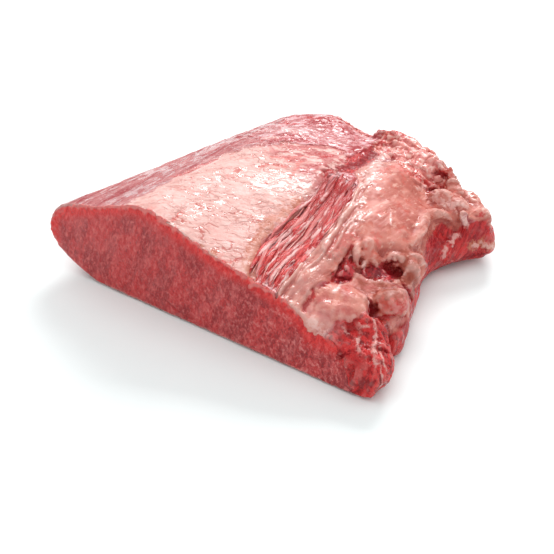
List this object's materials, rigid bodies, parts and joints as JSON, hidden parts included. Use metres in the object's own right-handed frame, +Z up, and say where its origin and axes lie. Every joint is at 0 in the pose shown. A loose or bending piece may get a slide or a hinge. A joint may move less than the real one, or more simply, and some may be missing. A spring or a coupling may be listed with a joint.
{
  "type": "raw beef brisket",
  "caption": "Raw boneless beef brisket lying fat side up, cut straight across the grain at the front and torn loose along one side.",
  "frame": {"origin": "middle of the footprint's box, on the surface that the meat lies on", "axes": "+X along the knife's cut from the thin natural edge to the torn tip, +Y with the grain away from the cut, +Z up through the fat cap"},
  "size_m": [0.2554, 0.2252, 0.0728],
  "materials": {
    "raw_beef": "satin"
  },
  "bodies": {
    "root": {"brisket": "raw_beef"}
  },
  "joints": []
}
